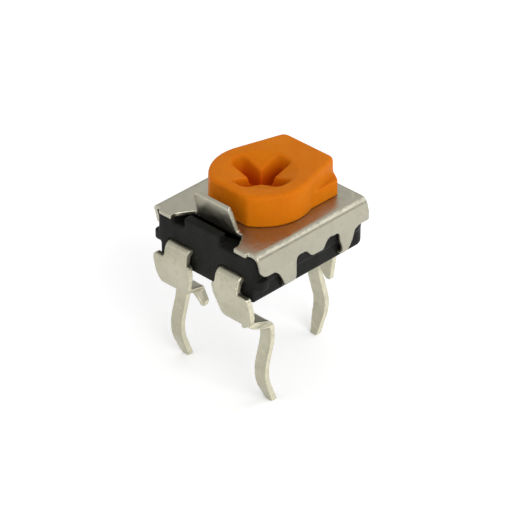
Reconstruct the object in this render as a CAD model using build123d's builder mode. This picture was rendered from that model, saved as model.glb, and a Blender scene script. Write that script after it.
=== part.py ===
from build123d import *
import math
import os

os.makedirs("parts", exist_ok=True)

# ---------------------------------------------------------------- driving sizes, mm
# Frame: Z up, Z = 0 at the tips of the three leads, rotor axis on X = 0, Y = 0,
# end terminals on the -Y side, wiper terminal on the +Y side.
z_body = 5.50          # underside of the housing above the lead tips
seat = 2.35            # stand-off tabs end this far below the housing

# housing
body_low_w = 5.44      # width of the lower body
body_up_w = 5.70       # width of the upper body, under the cover's skirts
body_front = -3.29
body_back = 3.65
body_corner_r = 0.66    # rear corners of the lower body
lip_corner_r = 0.86     # rear corners of the lip
ledge = 0.78           # height of the lower body
lip_h = 1.35           # height of the rear lip behind the cover
wall_top = 2.20
cavity_r = 2.55
floor_z = 0.46
block_x0, block_x1 = -1.28, 0.75   # block of the front wall that fills the cover's notch
block_back = -2.86
block_top = 2.42
recess_top = 1.95      # front wall each side of the block

# resistance element (wafer)
wafer_r = 2.52
wafer_t = 0.29
wafer_hole_r = 0.75

# cover sheet
sheet = 0.20
cover_w = 6.16
cover_top = 2.42
cover_front = -3.55
skirt_front = -3.30
cover_back = 3.40
fold_r = 0.22          # centre-line radius of the long folds
hole_r = 1.97
tab_lo = 0.18           # underside of the clinched tabs above the housing underside
tab_y = ((-1.65, -1.04), (1.78, 2.14))     # width of the clinched ends, front and rear

# rotor
rotor_r = 2.22
rotor_flat = -1.95
rotor_bottom = 2.43
rotor_step = 3.15
rotor_top = 3.90
hub_r = 1.90
hub_bottom = 2.17
cross_half = 1.46
cross_w = 0.86
cross_depth = 1.20
dish_r = 1.58           # shallow cone around the cross
dish_depth = 0.56

# wiper spring
wiper_t = 0.14
wiper_r = 2.34

# terminals
strip_t = 0.30
lead_w = 0.64
lead_x = 2.50           # half the spacing of the two end leads


def strip_sides(points, radii, t):
    """Corner points and corner radii of both sides of a bent strip whose
    centre line runs through the points, for a strip of thickness t."""
    h = t / 2.0
    n = len(points)
    dirs = []
    for (x0, y0), (x1, y1) in zip(points[:-1], points[1:]):
        d = math.hypot(x1 - x0, y1 - y0)
        dirs.append(((x1 - x0) / d, (y1 - y0) / d))
    sides = []
    for s in (1.0, -1.0):
        pts, rad = [], []
        for i in range(n):
            if i == 0 or i == n - 1:
                dx, dy = dirs[0] if i == 0 else dirs[-1]
                pts.append((points[i][0] - s * h * dy, points[i][1] + s * h * dx))
            else:
                ax, ay = dirs[i - 1]
                bx, by = dirs[i]
                mx, my = -(ay + by), ax + bx
                ml = math.hypot(mx, my)
                mx, my = mx / ml, my / ml
                k = h / (mx * -ay + my * ax)
                pts.append((points[i][0] + s * k * mx, points[i][1] + s * k * my))
                turn = ax * by - ay * bx
                rad.append(radii[i - 1] - s * h if turn > 0 else radii[i - 1] + s * h)
        sides.append((pts, rad))
    return sides


# ---------------------------------------------------------------- housing
slot_lo, slot_hi = ledge - 0.03, ledge + 0.29     # slots of the end terminals

with BuildPart() as housing:
    # lower body
    with BuildSketch(Plane.XY.offset(z_body)) as lower:
        with Locations((0, (body_front + body_back) / 2)):
            Rectangle(body_low_w, body_back - body_front)
        fillet(lower.vertices().group_by(Axis.Y)[-1], body_corner_r)
        fillet(lower.vertices().group_by(Axis.Y)[0], 0.12)
    extrude(amount=ledge)
    # rear lip and upper body
    with BuildSketch(Plane.XY.offset(z_body + ledge)) as lip:
        with Locations((0, (body_front + body_back) / 2)):
            Rectangle(body_up_w, body_back - body_front)
        fillet(lip.vertices().group_by(Axis.Y)[-1], lip_corner_r)
        fillet(lip.vertices().group_by(Axis.Y)[0], 0.12)
    extrude(amount=lip_h - ledge)
    with BuildSketch(Plane.XY.offset(z_body + lip_h)) as upper:
        with Locations((0, (body_front + 3.15) / 2)):
            Rectangle(body_up_w, 3.15 - body_front)
        fillet(upper.vertices().group_by(Axis.Y)[-1], 0.70)
        fillet(upper.vertices().group_by(Axis.Y)[0], 0.12)
    extrude(amount=wall_top - lip_h)
    chamfer(housing.edges().filter_by(Axis.Y).filter_by_position(Axis.Z, z_body + wall_top - 0.01, z_body + wall_top + 0.01), 0.10)
    # block in the notch of the cover
    with BuildSketch(Plane.XY.offset(z_body + lip_h)) as block:
        with Locations(((block_x0 + block_x1) / 2, (body_front + block_back) / 2)):
            Rectangle(block_x1 - block_x0, block_back - body_front)
    extrude(amount=block_top - lip_h)
    # small rounded side stops under the front ends of the skirts
    with BuildSketch(Plane.XY.offset(z_body + 0.66)) as stops:
        with Locations((-body_up_w / 2 - 0.04, body_front + 0.32), (body_up_w / 2 + 0.04, body_front + 0.32)):
            RectangleRounded(0.50, 0.62, 0.20)
    extrude(amount=0.46)
    # front wall lowered each side of the block
    with BuildSketch(Plane.XY.offset(z_body + recess_top)) as recess:
        with Locations(((-1.95 + block_x0) / 2, -2.9)):
            Rectangle(block_x0 + 1.95, 1.0)
        with Locations(((1.95 + block_x1) / 2, -2.9)):
            Rectangle(1.95 - block_x1, 1.0)
    extrude(amount=1.0, mode=Mode.SUBTRACT)
    # well behind the block for the root of the stop tab
    with BuildSketch(Plane.XY.offset(z_body + recess_top)) as rootwell:
        with Locations((0, (block_back - 2.0) / 2)):
            Rectangle(3.9, -2.0 - block_back)
    extrude(amount=1.0, mode=Mode.SUBTRACT)
    # round cavity for wafer and wiper
    with BuildSketch(Plane.XY.offset(z_body + floor_z)) as cavity:
        Circle(cavity_r)
    extrude(amount=3.0, mode=Mode.SUBTRACT)
    # slots of the two end terminals
    with BuildSketch(Plane.XY.offset(z_body + slot_lo)) as slots:
        with Locations((-1.49, -2.6), (1.49, -2.6)):
            Rectangle(1.40, 2.2)
    extrude(amount=slot_hi - slot_lo, mode=Mode.SUBTRACT)
    # groove and drop slot of the wiper terminal
    with BuildSketch(Plane.XY.offset(z_body + 0.14)) as groove:
        with Locations((0, 1.22)):
            Rectangle(1.24, 4.00)
    extrude(amount=floor_z - 0.14 + 0.02, mode=Mode.SUBTRACT)
    with BuildSketch(Plane.XY.offset(z_body - 0.1)) as drop:
        with Locations((0, 3.00)):
            Rectangle(1.24, 0.44)
    extrude(amount=0.30, mode=Mode.SUBTRACT)
    # slots in the sides into which the cover's four tabs are clinched
    with BuildSketch(Plane.XY.offset(z_body + tab_lo - 0.03)) as slots_side:
        for y0, y1 in tab_y:
            with Locations((-2.90, (y0 + y1) / 2), (2.90, (y0 + y1) / 2)):
                Rectangle(1.08, y1 - y0 + 0.08)
    extrude(amount=sheet + 0.06, mode=Mode.SUBTRACT)
housing.part.label = "housing"
export_step(housing.part, "parts/housing.step")

# ---------------------------------------------------------------- resistance element
wafer_z = z_body + floor_z
with BuildPart() as element:
    with BuildSketch(Plane.XY.offset(wafer_z)) as wafer:
        Circle(wafer_r)
        Circle(wafer_hole_r, mode=Mode.SUBTRACT)
        with Locations((0, -wafer_r)):
            Rectangle(1.0, 0.9, mode=Mode.SUBTRACT)
    extrude(amount=wafer_t)
element.part.label = "resistance_element"
export_step(element.part, "parts/resistance_element.step")

# ---------------------------------------------------------------- end terminals
# Centre line of the strip in the YZ plane: over the wafer, out through the
# front wall, bowed plate down the front, back under the body, then the leads
# and the stand-off tab, the lead with its snap-in kink.
zs = z_body
end_path = [(-1.55, zs + 0.91), (-3.43, zs + 0.91), (-3.57, zs + 0.28), (-3.28, zs - 1.18),
            (-2.20, zs - 1.52), (-2.18, zs - 2.35), (-2.66, zs - 3.98), (-1.84, zs - 5.75)]
end_radii = [0.22, 1.10, 0.28, 0.32, 1.80, 2.00]


def end_outline(s):
    """Front outline of an end terminal, s = -1 for the left, 1 for the right."""
    pts = [(0.84, 1.30), (2.14, 1.30), (2.14, 0.37), (2.26, 0.30), (2.66, 0.32), (2.78, 0.20),
           (2.81, -0.30), (2.79, -0.76), (2.70, -1.00), (2.62, -1.16), (2.70, -1.36), (2.82, -1.50), (2.82, -4.60),
           (2.70, -5.5), (2.30, -5.5), (2.18, -4.60), (2.18, -1.98), (2.05, -1.93), (1.78, -1.98),
           (1.30, -2.35), (1.12, -2.35), (1.05, -2.15), (1.30, -1.62), (1.18, -1.40), (1.08, -1.20),
           (0.98, -1.00), (0.84, -0.60), (0.70, -0.15), (0.67, 0.30), (0.72, 0.38), (0.84, 0.42)]
    return [(s * x, z + z_body) for x, z in pts]


(end_l, rad_l), (end_r, rad_r) = strip_sides(end_path, end_radii, strip_t)

with BuildPart() as terminal_right:
    with BuildSketch(Plane.YZ.offset(0.5)) as band:
        with BuildLine() as edges:
            a = FilletPolyline(*end_l, radius=rad_l)
            b = FilletPolyline(*end_r, radius=rad_r)
            Line(a @ 0, b @ 0)
            Line(a @ 1, b @ 1)
        make_face()
    extrude(amount=2.5)
    with BuildSketch(Plane.XZ.offset(-0.0)) as outline:
        Polygon(*end_outline(1), align=None)
    extrude(amount=5.0, mode=Mode.INTERSECT)
terminal_right.part.label = "terminal_right"
export_step(terminal_right.part, "parts/terminal_right.step")

with BuildPart() as terminal_left:
    add(mirror(terminal_right.part, about=Plane.YZ, mode=Mode.PRIVATE))
terminal_left.part.label = "terminal_left"
export_step(terminal_left.part, "parts/terminal_left.step")

# ---------------------------------------------------------------- wiper terminal
# Strip under the wafer with a raised round contact at the rotor axis, bent
# down through the floor at the rear, then one lead and one stand-off tab.
mid_path = [(-0.70, zs + 0.30), (3.00, zs + 0.30), (3.00, zs - 2.25), (3.52, zs - 4.15), (2.88, zs - 5.75)]
mid_radii = [0.26, 1.60, 1.60]
(mid_l, mrad_l), (mid_r, mrad_r) = strip_sides(mid_path, mid_radii, strip_t)

with BuildPart() as terminal_wiper:
    with BuildSketch(Plane.YZ.offset(-1.5)) as mband:
        with BuildLine() as medges:
            c = FilletPolyline(*mid_l, radius=mrad_l)
            d = FilletPolyline(*mid_r, radius=mrad_r)
            Line(c @ 0, d @ 0)
            Line(c @ 1, d @ 1)
        make_face()
    extrude(amount=3.4)
    with BuildSketch(Plane.XZ.offset(-5.0)) as moutline:
        Polygon(*[(x, z + z_body) for x, z in (
            (-0.60, 0.60), (0.60, 0.60), (0.60, -0.12), (0.90, -0.20), (1.44, -0.20), (1.51, -0.40),
            (1.49, -1.10), (1.33, -2.20), (1.28, -2.35), (1.06, -2.35), (0.98, -2.26), (0.76, -1.94),
            (0.68, -1.90), (0.64, -1.98), (0.66, -4.60), (0.60, -5.5), (0.22, -5.5), (-0.02, -4.60), (-0.09, -3.40),
            (-0.10, -0.40), (-0.60, -0.12))], align=None)
    extrude(amount=6.5, mode=Mode.INTERSECT)
    # raised contact, embossed from below
    with BuildSketch(Plane.XY.offset(z_body + 0.40)) as boss:
        Circle(0.60)
    extrude(amount=0.39)
    fillet(terminal_wiper.faces().sort_by(Axis.Z)[-1].edges(), 0.14)
    with BuildSketch(Plane.XY.offset(z_body + 0.10)) as dimple:
        Circle(0.36)
    extrude(amount=0.44, mode=Mode.SUBTRACT)
terminal_wiper.part.label = "terminal_wiper"
export_step(terminal_wiper.part, "parts/terminal_wiper.step")

# ---------------------------------------------------------------- cover
hw = cover_w / 2 - sheet / 2
zt = z_body + cover_top - sheet / 2
zc = z_body + tab_lo + sheet / 2
cover_path = [(-2.42, zc), (-hw, zc), (-hw, zt), (hw, zt), (hw, zc), (2.42, zc)]
cover_radii = [0.20, fold_r, fold_r, 0.20]
(cov_l, crad_l), (cov_r, crad_r) = strip_sides(cover_path, cover_radii, sheet)

with BuildPart() as cover:
    # folded section, run the whole length
    with BuildSketch(Plane.XZ.offset(-cover_back)) as section:
        with BuildLine() as sedges:
            e = FilletPolyline(*cov_l, radius=crad_l)
            f = FilletPolyline(*cov_r, radius=crad_r)
            Line(e @ 0, f @ 0)
            Line(e @ 1, f @ 1)
        make_face()
    extrude(amount=cover_back - cover_front)
    # side outline: skirts, clinch tabs and reliefs
    with BuildSketch(Plane.YZ.offset(-4.0)) as side:
        Polygon(*[(y, z + z_body) for y, z in (
            (cover_front, 2.8), (3.25, 2.8), (3.27, 2.20), (3.39, 1.66), (3.38, 1.28), (2.78, 1.30), (2.50, 1.16),
            (2.36, 0.74), (2.17, 0.42), (tab_y[1][1], 0.38), (tab_y[1][1], -0.10), (tab_y[1][0], -0.10), (1.78, 0.60),
            (1.62, 1.00), (1.56, 1.44), (0.88, 1.47), (0.56, 1.02), (-0.12, 1.06), (-0.44, 1.42), (tab_y[0][1], 1.47),
            (tab_y[0][1], 0.60), (tab_y[0][1], -0.10), (tab_y[0][0], -0.10), (tab_y[0][0], 0.38), (-1.70, 0.42), (-2.05, 1.03),
            (-2.30, 1.22), (-2.95, 1.27), (-3.14, 1.48), (-3.18, 1.75), (skirt_front, 2.16), (cover_front, 2.16))], align=None)
        # in this sketch the local X runs along the part's Y, the local Y along its Z
        for lo, hi, corner_r in ((-1.1, -0.9, 0.24), (-0.5, 0.9, 0.18), (1.5, 1.6, 0.26), (2.4, 2.8, 0.14),
                                 (-3.2, -2.9, 0.12), (-2.35, -2.0, 0.10)):
            corners = side.vertices().filter_by_position(Axis.Y, z_body + 1.0, z_body + 1.7)
            fillet(corners.filter_by_position(Axis.X, lo, hi), corner_r)
    extrude(amount=8.0, mode=Mode.INTERSECT)
    # plan outline: front notch and corner reliefs
    with BuildSketch(Plane.XY.offset(z_body + 1.9)) as plan:
        Polygon((-1.86, -3.8), (-1.82, -3.25), (-1.55, -2.78), (-1.36, -2.52), (1.36, -2.52),
                (1.55, -2.78), (1.82, -3.25), (1.86, -3.8), align=None)
        with Locations((-2.90, -3.55), (2.90, -3.55)):
            Rectangle(0.70, 0.44)
    extrude(amount=1.0, mode=Mode.SUBTRACT)
    # hole under the rotor
    with BuildSketch(Plane.XY.offset(z_body + 1.9)) as opening:
        Circle(hole_r)
    extrude(amount=1.0, mode=Mode.SUBTRACT)
    # stop tab bent up from the back of the notch
    (st_l, srad_l), (st_r, srad_r) = strip_sides(
        [(-2.10, zt), (-2.46, zt), (-2.74, z_body + 3.58)], [0.20], sheet)
    with BuildSketch(Plane.YZ.offset(-1.24)) as stop:
        with BuildLine() as stedges:
            g = FilletPolyline(*st_l, radius=srad_l)
            h = FilletPolyline(*st_r, radius=srad_r)
            Line(g @ 0, h @ 0)
            Line(g @ 1, h @ 1)
        make_face()
    extrude(amount=2.48)
    # taper of the stop tab
    with BuildSketch(Plane.XZ.offset(2.30)) as taper:
        Polygon((1.10, z_body + 2.44), (0.92, z_body + 3.38), (0.76, z_body + 3.70), (1.6, z_body + 3.70),
                (1.6, z_body + 2.44), align=None)
        Polygon((-1.24, z_body + 2.44), (-1.20, z_body + 3.38), (-1.08, z_body + 3.52), (-0.80, z_body + 3.70),
                (-1.6, z_body + 3.70), (-1.6, z_body + 2.44), align=None)
    extrude(amount=1.0, mode=Mode.SUBTRACT)
cover.part.label = "cover"
export_step(cover.part, "parts/cover.step")

# ---------------------------------------------------------------- rotor
wing_a = math.radians(15.5)
with BuildPart() as rotor:
    # lower part with the broad stop wing
    with BuildSketch(Plane.XY.offset(z_body + rotor_bottom)) as low:
        with BuildSketch(mode=Mode.PRIVATE) as wide:
            Circle(3.24)
            with Locations((0, 1.65)):
                Rectangle(4.06, 3.3, mode=Mode.INTERSECT)
        Circle(rotor_r)
        add(wide.sketch)
        with Locations((0, rotor_flat - 1.0)):
            Rectangle(6.0, 2.0, mode=Mode.SUBTRACT)
        fillet(low.vertices().group_by(Axis.Y)[0], 0.26)
        fillet(low.vertices().group_by(Axis.Y)[-1], 0.20)
    extrude(amount=rotor_step - rotor_bottom)
    # upper part with the pointer wing
    with BuildSketch(Plane.XY.offset(z_body + rotor_step)) as top:
        Circle(rotor_r)
        Polygon((-2.13, 0.62), (-1.45, 2.95), (1.45, 2.95), (2.13, 0.62), align=None)
        fillet(top.vertices().group_by(Axis.Y)[-1], 0.30)
        with Locations((0, rotor_flat - 1.0)):
            Rectangle(6.0, 2.0, mode=Mode.SUBTRACT)
        fillet(top.vertices().group_by(Axis.Y)[0], 0.26)
    extrude(amount=rotor_top - rotor_step)
    fillet(rotor.faces().sort_by(Axis.Z)[-1].edges(), 0.16)
    # hub through the cover and two posts that hold the wiper spring
    with BuildSketch(Plane.XY.offset(z_body + hub_bottom)) as hub:
        Circle(hub_r)
    extrude(amount=rotor_bottom - hub_bottom)
    with BuildSketch(Plane.XY.offset(z_body + hub_bottom - wiper_t - 0.02)) as posts:
        with Locations((-1.25, -0.15), (1.25, -0.15)):
            Circle(0.30)
    extrude(amount=wiper_t + 0.02)
    with BuildSketch(Plane.XY.offset(z_body + hub_bottom - wiper_t - 0.02 - 0.16)) as heads:
        with Locations((-1.25, -0.15), (1.25, -0.15)):
            Circle(0.44)
    extrude(amount=0.16)
    # cross recess for a screwdriver, arms along X and Y, walls drafted
    with BuildSketch(Plane.XY.offset(z_body + rotor_top)) as cross:
        RectangleRounded(2 * cross_half, cross_w, 0.16)
        RectangleRounded(cross_w, 2 * cross_half, 0.16)
    extrude(amount=-cross_depth, taper=9, mode=Mode.SUBTRACT)
    # shallow cone that leads the screwdriver into the cross
    with Locations((0, 0, z_body + rotor_top)):
        Cone(bottom_radius=0.02, top_radius=dish_r, height=dish_depth, align=(Align.CENTER, Align.CENTER, Align.MAX),
             mode=Mode.SUBTRACT)
rotor.part.label = "rotor"
export_step(rotor.part, "parts/rotor.step")

# ---------------------------------------------------------------- wiper spring
wz = z_body + hub_bottom - 0.01 - wiper_t / 2
(br_l, brr_l), (br_r, brr_r) = strip_sides(
    [(-1.30, wz), (-1.00, wz), (0.10, z_body + 0.88), (0.42, z_body + 1.10)], [0.16, 0.12], wiper_t)
(ce_l, cer_l), (ce_r, cer_r) = strip_sides(
    [(-1.55, wz), (-1.25, wz), (-0.05, z_body + 0.92), (0.30, z_body + 1.14)], [0.16, 0.12], wiper_t)
with BuildPart() as wiper:
    with BuildSketch(Plane.XY.offset(wz - wiper_t / 2)) as plate:
        Circle(wiper_r)
        with Locations((-1.25, -0.15), (1.25, -0.15)):
            Circle(0.32, mode=Mode.SUBTRACT)
        with Locations((-0.15, 1.75)):
            Rectangle(1.70, 0.72, mode=Mode.SUBTRACT)
        with Locations((0, -0.36)):
            Rectangle(0.86, 1.78, mode=Mode.SUBTRACT)
    extrude(amount=wiper_t)
    # brush that runs on the carbon track
    with BuildSketch(Plane.XZ.offset(-2.00)) as brush:
        with BuildLine() as bedges:
            p = FilletPolyline(*br_l, radius=brr_l)
            q = FilletPolyline(*br_r, radius=brr_r)
            Line(p @ 0, q @ 0)
            Line(p @ 1, q @ 1)
        make_face()
    extrude(amount=0.50)
    # middle arm on the raised contact of the wiper terminal
    with BuildSketch(Plane.YZ.offset(-0.27)) as arm:
        with BuildLine() as aedges:
            r = FilletPolyline(*ce_l, radius=cer_l)
            s = FilletPolyline(*ce_r, radius=cer_r)
            Line(r @ 0, s @ 0)
            Line(r @ 1, s @ 1)
        make_face()
    extrude(amount=0.54)
wiper.part.label = "wiper_spring"
export_step(wiper.part, "parts/wiper_spring.step")
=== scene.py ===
import math

import bmesh
import bpy
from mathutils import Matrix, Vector


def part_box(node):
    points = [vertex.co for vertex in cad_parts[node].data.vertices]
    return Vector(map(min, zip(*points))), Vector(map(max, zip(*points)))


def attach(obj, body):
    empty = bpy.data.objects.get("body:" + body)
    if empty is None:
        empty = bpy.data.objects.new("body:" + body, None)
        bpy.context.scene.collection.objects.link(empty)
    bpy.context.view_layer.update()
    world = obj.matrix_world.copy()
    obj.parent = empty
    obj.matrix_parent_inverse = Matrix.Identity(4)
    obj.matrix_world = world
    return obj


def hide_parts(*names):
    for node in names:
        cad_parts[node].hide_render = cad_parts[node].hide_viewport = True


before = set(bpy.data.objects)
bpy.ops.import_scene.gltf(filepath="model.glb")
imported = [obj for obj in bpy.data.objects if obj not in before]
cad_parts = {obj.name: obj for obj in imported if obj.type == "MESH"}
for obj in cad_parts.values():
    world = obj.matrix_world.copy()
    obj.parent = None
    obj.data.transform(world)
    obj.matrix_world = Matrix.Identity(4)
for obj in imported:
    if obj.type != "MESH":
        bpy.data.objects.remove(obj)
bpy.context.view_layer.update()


MM = 0.001
Z_BODY = 5.5          # underside of the housing, mm


# ---------------------------------------------------------------- camera
def make_camera():
    az, el = math.radians(44.27), math.radians(32.47)
    s, d = 23.657, 150.0                       # pixels per mm at the rotor axis, distance in mm
    back = Vector((math.sin(az) * math.cos(el), -math.cos(az) * math.cos(el), math.sin(el)))
    right = Vector((math.cos(az), math.sin(az), 0.0))
    up = back.cross(right)
    anchor = Vector((0.0, 0.0, Z_BODY))        # this point lies at pixel (ax, ay)
    ax, ay = 261.07, 248.54
    aim = anchor - right * ((ax - 255.0) / s) - up * ((255.0 - ay) / s)
    data = bpy.data.cameras.new("camera")
    cam = bpy.data.objects.new("camera", data)
    bpy.context.scene.collection.objects.link(cam)
    data.lens_unit = "MILLIMETERS"
    data.sensor_fit = "HORIZONTAL"
    data.sensor_width = 36.0
    data.lens = s * d / 510.0 * 36.0
    data.clip_start = 0.005
    data.clip_end = 5.0
    cam.location = (aim + back * d) * MM
    m = back.to_track_quat("Z", "Y")
    cam.rotation_mode = "QUATERNION"
    cam.rotation_quaternion = m
    bpy.context.scene.camera = cam
    return cam


make_camera()


# ---------------------------------------------------------------- material helpers
def nodes_of(name):
    mat = bpy.data.materials.new(name)
    mat.use_nodes = True
    nt = mat.node_tree
    bsdf = next(n for n in nt.nodes if n.type == "BSDF_PRINCIPLED")
    return mat, nt, bsdf


def mm_coords(nt, scale=(1.0, 1.0, 1.0)):
    """Object coordinates in millimetres."""
    tc = nt.nodes.new("ShaderNodeTexCoord")
    mp = nt.nodes.new("ShaderNodeMapping")
    mp.inputs["Scale"].default_value = tuple(1000.0 * k for k in scale)
    nt.links.new(tc.outputs["Object"], mp.inputs["Vector"])
    return mp.outputs["Vector"]


def noise(nt, vec, scale, detail=4.0, rough=0.55):
    n = nt.nodes.new("ShaderNodeTexNoise")
    n.inputs["Scale"].default_value = scale
    n.inputs["Detail"].default_value = detail
    n.inputs["Roughness"].default_value = rough
    nt.links.new(vec, n.inputs["Vector"])
    return n.outputs["Fac"]


def span(nt, value, a, b, c, d):
    r = nt.nodes.new("ShaderNodeMapRange")
    r.inputs["From Min"].default_value = a
    r.inputs["From Max"].default_value = b
    r.inputs["To Min"].default_value = c
    r.inputs["To Max"].default_value = d
    nt.links.new(value, r.inputs["Value"])
    return r.outputs["Result"]


def mix_colour(nt, fac, a, b):
    m = nt.nodes.new("ShaderNodeMix")
    m.data_type = "RGBA"
    if isinstance(fac, float):
        m.inputs[0].default_value = fac
    else:
        nt.links.new(fac, m.inputs[0])
    for sock, v in ((m.inputs[6], a), (m.inputs[7], b)):
        if isinstance(v, tuple):
            sock.default_value = (*v, 1.0)
        else:
            nt.links.new(v, sock)
    return m.outputs[2]


def math_node(nt, op, a, b=None):
    m = nt.nodes.new("ShaderNodeMath")
    m.operation = op
    for sock, v in zip(m.inputs, (a, b)):
        if v is None:
            continue
        if isinstance(v, (int, float)):
            sock.default_value = v
        else:
            nt.links.new(v, sock)
    return m.outputs[0]


def bump(nt, bsdf, height, distance, strength=1.0, normal=None):
    b = nt.nodes.new("ShaderNodeBump")
    b.inputs["Distance"].default_value = distance
    b.inputs["Strength"].default_value = strength
    nt.links.new(height, b.inputs["Height"])
    if normal is not None:
        nt.links.new(normal, b.inputs["Normal"])
    nt.links.new(b.outputs["Normal"], bsdf.inputs["Normal"])
    return b.outputs["Normal"]


def edges_of(nt, lo=0.56, hi=0.66):
    g = nt.nodes.new("ShaderNodeNewGeometry")
    return span(nt, g.outputs["Pointiness"], lo, hi, 0.0, 1.0)


def plastic(name, colour, deep, bright, rough, grain=9.0, spec=0.5, sub=0.0, edge=0.30, recess_shade=None):
    """Moulded plastic: soft clouds of colour, a fine eroded grain, edges painted lighter (partly wear, partly
    painted highlight).
    """
    mat, nt, bsdf = nodes_of(name)
    v = mm_coords(nt)
    cloud = noise(nt, v, 0.45, 3.0)
    fine = noise(nt, v, grain, 5.0, 0.6)
    flow = noise(nt, mm_coords(nt, (1.0, 1.0, 0.25)), 1.6, 4.0, 0.5)
    specks = noise(nt, v, grain * 2.3, 2.0, 0.4)
    c = mix_colour(nt, span(nt, cloud, 0.35, 0.65, 0.0, 1.0), deep, colour)
    c = mix_colour(nt, span(nt, flow, 0.40, 0.70, 0.0, 0.35), c, deep)
    c = mix_colour(nt, span(nt, fine, 0.35, 0.75, 0.0, 0.30), c, bright)
    c = mix_colour(nt, span(nt, specks, 0.74, 0.80, 0.0, 0.5), c, bright)
    # edges painted lighter: partly wear, partly painted highlight
    c = mix_colour(nt, span(nt, edges_of(nt), 0.0, 1.0, 0.0, edge), c, bright)
    if recess_shade is not None:
        # the recess is painted darker and redder towards its floor: painted shade where less light reaches into the
        # hollow
        top, floor, radius, recess_shade_colour = recess_shade
        sep = nt.nodes.new("ShaderNodeSeparateXYZ")
        nt.links.new(v, sep.inputs[0])
        r2 = math_node(nt, "ADD", math_node(nt, "POWER", sep.outputs[0], 2.0),
                       math_node(nt, "POWER", sep.outputs[1], 2.0))
        inside = span(nt, r2, (radius - 0.15) ** 2, radius ** 2, 1.0, 0.0)
        down = span(nt, sep.outputs[2], floor, top, 0.85, 0.0)
        c = mix_colour(nt, math_node(nt, "MULTIPLY", inside, down), c, recess_shade_colour)
    nt.links.new(c, bsdf.inputs["Base Color"])
    nt.links.new(span(nt, flow, 0.3, 0.7, rough - 0.06, rough + 0.09), bsdf.inputs["Roughness"])
    bsdf.inputs["Specular IOR Level"].default_value = spec
    if sub > 0:
        bsdf.inputs["Subsurface Weight"].default_value = sub
        bsdf.inputs["Subsurface Radius"].default_value = (1.0, 0.35, 0.06)
        bsdf.inputs["Subsurface Scale"].default_value = 0.00045
    b1 = bump(nt, bsdf, flow, 0.00003, 0.35)
    bump(nt, bsdf, fine, 0.000007, 0.7, b1)
    return mat


def metal(name, colour, dark, rough, scratch_axis=(1.0, 1.0, 1.0), tarnish=0.35, sheared=None, grain=0.5, fold_highlight_axis=None):
    """Plated sheet metal: blotchy plating, fine rolling lines, edges painted lighter
    (partly wear, partly painted highlight); sheared = object axis whose faces are the cut edges of the strip;
    fold_highlight_axis = object axis that the long bends turn towards, with a painted highlight along them on faces
    turned upward."""
    mat, nt, bsdf = nodes_of(name)
    v = mm_coords(nt)
    cloud = noise(nt, v, 0.6, 4.0)
    spots = noise(nt, v, 3.2, 6.0, 0.65)
    grains = noise(nt, v, 16.0, 3.0, 0.6)
    lines = noise(nt, mm_coords(nt, scratch_axis), 9.0, 6.0, 0.6)
    c = mix_colour(nt, span(nt, cloud, 0.35, 0.70, 0.0, tarnish), colour, dark)
    c = mix_colour(nt, span(nt, spots, 0.54, 0.72, 0.0, tarnish), c, dark)
    c = mix_colour(nt, span(nt, lines, 0.58, 0.72, 0.0, tarnish * 0.45), c, dark)
    # a lighter colour for edges and cut faces: partly wear, partly painted highlight
    rubbed_and_highlight = tuple(min(1.0, k * 1.65) for k in colour)
    c = mix_colour(nt, edges_of(nt), c, rubbed_and_highlight)
    r = span(nt, spots, 0.3, 0.7, rough - 0.07, rough + 0.10)
    if sheared is not None:
        tc = nt.nodes.new("ShaderNodeTexCoord")
        sep = nt.nodes.new("ShaderNodeSeparateXYZ")
        nt.links.new(tc.outputs["Normal"], sep.inputs[0])
        side = span(nt, math_node(nt, "ABSOLUTE", sep.outputs[sheared]), 0.86, 0.94, 0.0, 1.0)
        torn = noise(nt, mm_coords(nt, (1.0, 0.35, 0.35)), 12.0, 5.0, 0.7)
        cut = mix_colour(nt, span(nt, torn, 0.40, 0.75, 0.0, 0.45), rubbed_and_highlight, dark)
        c = mix_colour(nt, math_node(nt, "MULTIPLY", side, 0.75), c, cut)
        r = math_node(nt, "ADD", r, math_node(nt, "MULTIPLY", side, 0.12))
    # painted highlight along the cover's folds, on faces turned upward, broken up by noise
    if fold_highlight_axis is not None:
        tc = nt.nodes.new("ShaderNodeTexCoord")
        sep = nt.nodes.new("ShaderNodeSeparateXYZ")
        nt.links.new(tc.outputs["Normal"], sep.inputs[0])
        lean = math_node(nt, "ABSOLUTE", sep.outputs[fold_highlight_axis])
        bend = math_node(nt, "MULTIPLY", span(nt, lean, 0.24, 0.46, 0.0, 1.0), span(nt, lean, 0.60, 0.82, 1.0, 0.0))
        bend = math_node(nt, "MULTIPLY", bend, span(nt, sep.outputs[2], 0.1, 0.4, 0.0, 1.0))
        highlight_breakup = noise(nt, mm_coords(nt, (1.0, 0.5, 1.0)), 7.0, 5.0, 0.7)
        c = mix_colour(nt, math_node(nt, "MULTIPLY", bend, span(nt, highlight_breakup, 0.38, 0.60, 0.05, 0.90)), c, rubbed_and_highlight)
    nt.links.new(c, bsdf.inputs["Base Color"])
    nt.links.new(r, bsdf.inputs["Roughness"])
    bsdf.inputs["Metallic"].default_value = 1.0
    b1 = bump(nt, bsdf, lines, 0.000006, 0.3)
    b2 = bump(nt, bsdf, cloud, 0.00005, 0.30, b1)
    bump(nt, bsdf, grains, 0.000004, grain, b2)
    return mat


# the rotor's recess gets a painted shade: a darker, redder colour inside the cross recess
orange = plastic("rotor_orange", (0.57, 0.155, 0.0020), (0.52, 0.130, 0.0015), (0.66, 0.205, 0.006), 0.46,
                 spec=0.05, sub=0.36, edge=0.22, recess_shade=(9.20, 8.50, 1.62, (0.50, 0.052, 0.0006)))
black = plastic("housing_black", (0.0082, 0.0082, 0.0074), (0.0055, 0.0055, 0.0050), (0.020, 0.020, 0.018),
                0.50, 6.0, 0.10)
tin = metal("terminal_tin", (0.50, 0.480, 0.372), (0.29, 0.275, 0.190), 0.34, (1.0, 1.0, 0.15), 0.42, 0)
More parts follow.
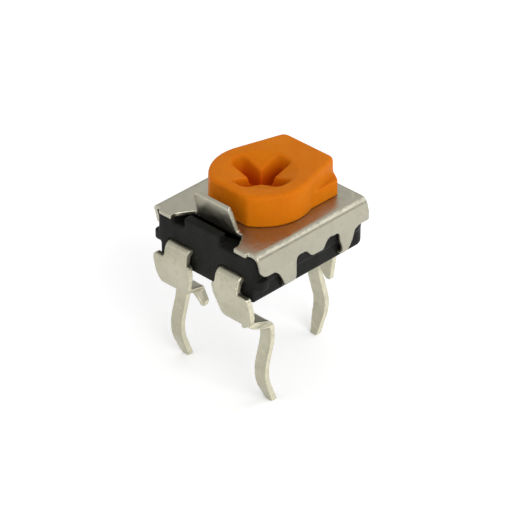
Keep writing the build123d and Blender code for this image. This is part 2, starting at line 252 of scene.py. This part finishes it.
# the cover plate gets the painted highlight along its folds (last argument)
plate = metal("cover_plate", (0.45, 0.430, 0.345), (0.32, 0.305, 0.235), 0.33, (1.0, 0.15, 1.0), 0.30, None, 0.45, 0)
carbon = plastic("carbon_element", (0.03, 0.025, 0.02), (0.02, 0.016, 0.012), (0.05, 0.045, 0.04), 0.55)
bronze = metal("spring_bronze", (0.60, 0.36, 0.14), (0.38, 0.21, 0.07), 0.3)

LOOK = {"rotor": orange, "housing": black, "terminal_left": tin, "terminal_right": tin,
        "terminal_wiper": tin, "cover": plate, "resistance_element": carbon, "wiper_spring": bronze}
BODY = {"rotor": "rotor_set", "wiper_spring": "rotor_set"}


# ---------------------------------------------------------------- pieces from the CAD shapes
def skin_from(node, name, voxel_mm, passes):
    """An even skin over a node's mesh with its edges softened, as a press or a
    mould leaves them; kept inside the node's own box. Each pass is a number of
    rounds and the height in mm above which they work."""
    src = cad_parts[node]
    raw = bpy.data.objects.new(name + "_raw", src.data.copy())
    bpy.context.scene.collection.objects.link(raw)
    m = raw.modifiers.new("skin", "REMESH")
    m.mode = "VOXEL"
    m.voxel_size = voxel_mm * MM
    m.adaptivity = 0.0
    dg = bpy.context.evaluated_depsgraph_get()
    me = bpy.data.meshes.new_from_object(raw.evaluated_get(dg))
    me.name = name
    bpy.data.objects.remove(raw)
    me.materials.clear()
    bm = bmesh.new()
    bm.from_mesh(me)
    for rounds, above_mm in passes:
        soft = [v for v in bm.verts if v.co.z > above_mm * MM]
        for _ in range(rounds):
            bmesh.ops.smooth_vert(bm, verts=soft, factor=0.5, use_axis_x=True, use_axis_y=True, use_axis_z=True)
    low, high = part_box(node)
    for v in bm.verts:
        for k in range(3):
            v.co[k] = min(max(v.co[k], low[k]), high[k])
    for f in bm.faces:
        f.smooth = True
    bm.to_mesh(me)
    bm.free()
    ob = bpy.data.objects.new(name, me)
    bpy.context.scene.collection.objects.link(ob)
    me.materials.append(LOOK[node])
    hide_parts(node)
    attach(ob, BODY.get(node, "base"))
    return ob


for node, voxel, rounds in (("cover", 0.040, 4), ("terminal_left", 0.034, 5), ("terminal_right", 0.034, 5),
                            ("terminal_wiper", 0.034, 5), ("housing", 0.050, 3)):
    skin_from(node, node + "_shape", voxel, ((rounds, -1.0),))
skin_from("rotor", "rotor_shape", 0.036, ((6, Z_BODY + 2.50), (14, Z_BODY + 3.20)))

for node in ("resistance_element", "wiper_spring"):
    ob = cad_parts[node]
    for k in range(len(ob.material_slots)):
        ob.material_slots[k].material = LOOK[node]


# ---------------------------------------------------------------- floor and light
def make_floor():
    me = bpy.data.meshes.new("floor")
    bm = bmesh.new()
    bmesh.ops.create_grid(bm, x_segments=2, y_segments=2, size=0.6)
    bm.to_mesh(me)
    bm.free()
    ob = bpy.data.objects.new("floor", me)
    bpy.context.scene.collection.objects.link(ob)
    ob.location = (0.0, 0.0, -0.00001)
    mat, nt, bsdf = nodes_of("floor_white")
    bsdf.inputs["Base Color"].default_value = (0.96, 0.96, 0.96, 1.0)
    bsdf.inputs["Roughness"].default_value = 0.9
    bsdf.inputs["Emission Color"].default_value = (1.0, 1.0, 1.0, 1.0)
    bsdf.inputs["Emission Strength"].default_value = 0.15
    me.materials.append(mat)


make_floor()


def area(name, place, size, power, target=(0.0, 0.0, 0.006)):
    data = bpy.data.lights.new(name, "AREA")
    data.shape = "RECTANGLE"
    data.size, data.size_y = size
    data.energy = power
    ob = bpy.data.objects.new(name, data)
    bpy.context.scene.collection.objects.link(ob)
    ob.location = place
    ob.rotation_mode = "QUATERNION"
    ob.rotation_quaternion = (Vector(place) - Vector(target)).to_track_quat("Z", "Y")
    return ob


area("key", (0.24, -0.06, 0.15), (0.20, 0.20), 0.42)
area("back", (0.10, 0.22, 0.12), (0.20, 0.12), 0.10)
area("fill", (-0.16, -0.28, 0.10), (0.24, 0.16), 0.09)

# studio room: bright above, a dim band at the height of the walls
world = bpy.data.worlds.new("studio")
bpy.context.scene.world = world
world.use_nodes = True
wt = world.node_tree
bg = next(n for n in wt.nodes if n.type == "BACKGROUND")
wc = wt.nodes.new("ShaderNodeTexCoord")
ws = wt.nodes.new("ShaderNodeSeparateXYZ")
wr = wt.nodes.new("ShaderNodeValToRGB")
wt.links.new(wc.outputs["Generated"], ws.inputs[0])
wt.links.new(ws.outputs[2], wr.inputs[0])
ramp = wr.color_ramp
ramp.elements[0].position = 0.02
ramp.elements[0].color = (0.34, 0.34, 0.33, 1.0)
ramp.elements[1].position = 0.95
ramp.elements[1].color = (0.74, 0.74, 0.74, 1.0)
for pos, val in ((0.18, 0.46), (0.40, 0.85), (0.58, 1.0), (0.66, 1.0), (0.82, 0.80)):
    el = ramp.elements.new(pos)
    el.color = (val, val, val, 1.0)
wt.links.new(wr.outputs[0], bg.inputs["Color"])
bg.inputs["Strength"].default_value = 0.92

bpy.context.scene.view_settings.view_transform = "Standard"
